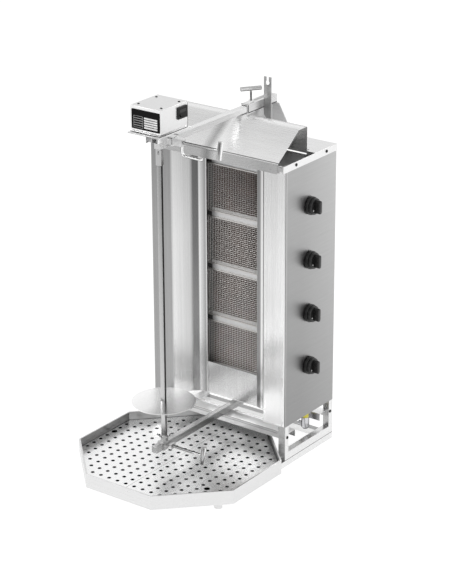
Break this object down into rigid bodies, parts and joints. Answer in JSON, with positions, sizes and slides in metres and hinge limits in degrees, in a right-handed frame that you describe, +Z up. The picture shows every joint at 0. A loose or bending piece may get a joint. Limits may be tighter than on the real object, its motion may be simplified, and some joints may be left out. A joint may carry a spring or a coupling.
{
  "type": "gas doner kebab grill",
  "caption": "Upright gas grill with stacked ceramic burners, reflectors and hood, a motor-turned square spit with disc on sliding arms, and a pull-out octagonal drip tray.",
  "frame": {"origin": "on the table under the middle of the cabinet's front edge, on the plinth's underside", "axes": "+X to the knob side, +Y to the back, +Z up; the spit stands at -Y"},
  "size_m": [0.55, 0.731, 1.1036],
  "materials": {
    "bright_steel": "bright satin stainless sheet",
    "satin_steel": "satin stainless sheet",
    "brushed_panel": "stainless sheet brushed along its depth",
    "reflector_steel": "satin stainless sheet, grain upright",
    "top_steel": "bright satin stainless sheet",
    "hood_steel": "bright satin stainless sheet",
    "galvanised": "zinc coated sheet, pale grey",
    "ceramic": "perforated burner ceramic, brown pink",
    "burner_mesh": "heat-darkened wire screen",
    "gas_brass": "plain turned brass",
    "gear_brass": "cut brass gear",
    "probe_steel": "heat-tinted probe",
    "plated_fitting": "bright nickel plated fitting",
    "yellow_band": "yellow gas marking ring",
    "satin_bright": "bright satin stainless tube",
    "fork_steel": "satin stainless plate",
    "bar_steel": "satin stainless tube",
    "screw_steel": "plated steel",
    "clamp_steel": "polished stainless rod",
    "plate_steel": "satin stainless sheet",
    "case_steel": "pale satin sheet",
    "motor_grey": "dark grey enamel",
    "label_black": "black label plate",
    "switch_black": "black moulded plastic",
    "rocker_black": "black moulded plastic",
    "rod_steel": "ground stainless rod",
    "disc_steel": "polished stainless disc",
    "knob_black": "black heat-proof plastic",
    "tray_steel": "bright satin stainless sheet",
    "grid_steel": "bright perforated stainless sheet"
  },
  "bodies": {
    "cabinet": {"base_frames": "bright_steel", "plinth_frame": "bright_steel", "cross_beams": "satin_steel", "bottom_panel": "satin_steel", "right_side_panel": "brushed_panel", "left_side_panel": "brushed_panel", "right_reflector": "reflector_steel", "left_reflector": "reflector_steel", "lower_panel": "reflector_steel", "rear_panel": "satin_steel", "top_cover": "top_steel", "hood": "hood_steel", "heat_shield": "satin_steel", "burner_housings": "galvanised", "ceramic_tiles": "ceramic", "burner_meshes": "burner_mesh", "burner_spacers": "galvanised", "gas_manifold": "gas_brass", "gas_taps": "gas_brass", "feed_pipes": "gas_brass", "thermocouples": "probe_steel", "gas_inlet": "plated_fitting", "inlet_collar": "yellow_band", "arm_sleeve": "satin_bright", "rear_bracket": "satin_bright", "fork_plate": "fork_steel", "bottom_bar": "bar_steel", "sheet_screws": "screw_steel"},
    "arm": {"top_arm": "satin_bright"},
    "carriage": {"front_bar": "bar_steel", "motor_plate": "plate_steel", "motor_case": "case_steel", "gear_motor": "motor_grey", "front_label": "label_black", "switch_housing": "switch_black", "case_screws": "screw_steel", "foot_slider": "bright_steel"},
    "spit": {"spit_rod": "rod_steel", "spit_disc": "disc_steel", "drive_coupling": "rod_steel", "drive_gear": "gear_brass"},
    "pinion": {"motor_pinion": "screw_steel"},
    "lever": {"lock_lever": "rod_steel"},
    "rear_pad": {"rear_pad": "screw_steel"},
    "rear_screw": {"rear_clamp_screw": "clamp_steel"},
    "front_pad": {"front_pad": "screw_steel"},
    "front_screw": {"front_clamp_screw": "clamp_steel"},
    "foot_pad": {"foot_pad": "screw_steel"},
    "foot_screw": {"foot_clamp_screw": "clamp_steel"},
    "tap_1": {"tap_spindle_1": "screw_steel"},
    "tap_2": {"tap_spindle_2": "screw_steel"},
    "tap_3": {"tap_spindle_3": "screw_steel"},
    "tap_4": {"tap_spindle_4": "screw_steel"},
    "knob_1": {"knob_1": "knob_black"},
    "knob_2": {"knob_2": "knob_black"},
    "knob_3": {"knob_3": "knob_black"},
    "knob_4": {"knob_4": "knob_black"},
    "rocker": {"rocker_switch": "rocker_black"},
    "tray": {"drip_tray": "tray_steel", "tray_grids": "grid_steel"}
  },
  "joints": [
    {"name": "arm_slide", "type": "slide", "parent": "cabinet", "child": "arm", "axis": [0, -1, 0], "range_m": [-0.06, 0.02]},
    {"name": "front_bar_slide", "type": "slide", "parent": "arm", "child": "carriage", "axis": [0, -1, 0], "range_m": [0, 0.012]},
    {"name": "spit_turn", "type": "hinge", "parent": "carriage", "child": "spit", "pos_m": [0, -0.254, 0.1], "axis": [0, 0, 1], "continuous": true},
    {"name": "pinion_turn", "type": "hinge", "parent": "carriage", "child": "pinion", "pos_m": [0, -0.224, 1.045], "axis": [0, 0, 1], "continuous": true},
    {"name": "lever_swing", "type": "hinge", "parent": "arm", "child": "lever", "pos_m": [0.0345, -0.2, 0.97], "axis": [0, 0, 1], "range_deg": [-45, 60]},
    {"name": "rear_pad_slide", "type": "slide", "parent": "cabinet", "child": "rear_pad", "axis": [0, 0, 1], "range_m": [0, 0.0023]},
    {"name": "rear_screw_turn", "type": "hinge", "parent": "rear_pad", "child": "rear_screw", "pos_m": [0, 0.16, 1.03], "axis": [0, 0, 1], "range_deg": [0, 540]},
    {"name": "front_pad_slide", "type": "slide", "parent": "arm", "child": "front_pad", "axis": [1, 0, 0], "range_m": [0, 0.0023]},
    {"name": "front_screw_turn", "type": "hinge", "parent": "front_pad", "child": "front_screw", "pos_m": [0.1, -0.2, 0.985], "axis": [1, 0, 0], "range_deg": [0, 540]},
    {"name": "foot_pad_slide", "type": "slide", "parent": "carriage", "child": "foot_pad", "axis": [1, 0, 0], "range_m": [0, 0.0023]},
    {"name": "foot_screw_turn", "type": "hinge", "parent": "foot_pad", "child": "foot_screw", "pos_m": [0.08, -0.245, 0.104], "axis": [1, 0, 0], "range_deg": [0, 540]},
    {"name": "tap_1_turn", "type": "hinge", "parent": "cabinet", "child": "tap_1", "pos_m": [0.235, 0.112, 0.28], "axis": [1, 0, 0], "range_deg": [0, 180]},
    {"name": "knob_1_push", "type": "slide", "parent": "tap_1", "child": "knob_1", "axis": [-1, 0, 0], "range_m": [0, 0.003], "stiffness_N_per_m": 600, "springref_m": -0.001},
    {"name": "tap_2_turn", "type": "hinge", "parent": "cabinet", "child": "tap_2", "pos_m": [0.235, 0.112, 0.44], "axis": [1, 0, 0], "range_deg": [0, 180]},
    {"name": "knob_2_push", "type": "slide", "parent": "tap_2", "child": "knob_2", "axis": [-1, 0, 0], "range_m": [0, 0.003], "stiffness_N_per_m": 600, "springref_m": -0.001},
    {"name": "tap_3_turn", "type": "hinge", "parent": "cabinet", "child": "tap_3", "pos_m": [0.235, 0.112, 0.6], "axis": [1, 0, 0], "range_deg": [0, 180]},
    {"name": "knob_3_push", "type": "slide", "parent": "tap_3", "child": "knob_3", "axis": [-1, 0, 0], "range_m": [0, 0.003], "stiffness_N_per_m": 600, "springref_m": -0.001},
    {"name": "tap_4_turn", "type": "hinge", "parent": "cabinet", "child": "tap_4", "pos_m": [0.235, 0.112, 0.76], "axis": [1, 0, 0], "range_deg": [0, 180]},
    {"name": "knob_4_push", "type": "slide", "parent": "tap_4", "child": "knob_4", "axis": [-1, 0, 0], "range_m": [0, 0.003], "stiffness_N_per_m": 600, "springref_m": -0.001},
    {"name": "rocker_tilt", "type": "hinge", "parent": "carriage", "child": "rocker", "pos_m": [0.051, -0.2205, 1.077], "axis": [0, 1, 0], "range_deg": [0, 20]},
    {"name": "tray_slide", "type": "slide", "parent": "cabinet", "child": "tray", "axis": [0, -1, 0], "range_m": [0, 0.25]}
  ],
  "couplings": [
    {"joint": "pinion_turn", "follows": "spit_turn", "ratio": -3},
    {"joint": "rear_pad_slide", "follows": "rear_screw_turn", "m_per_rad": 0.00023873},
    {"joint": "front_pad_slide", "follows": "front_screw_turn", "m_per_rad": 0.00023873},
    {"joint": "foot_pad_slide", "follows": "foot_screw_turn", "m_per_rad": 0.00023873}
  ]
}
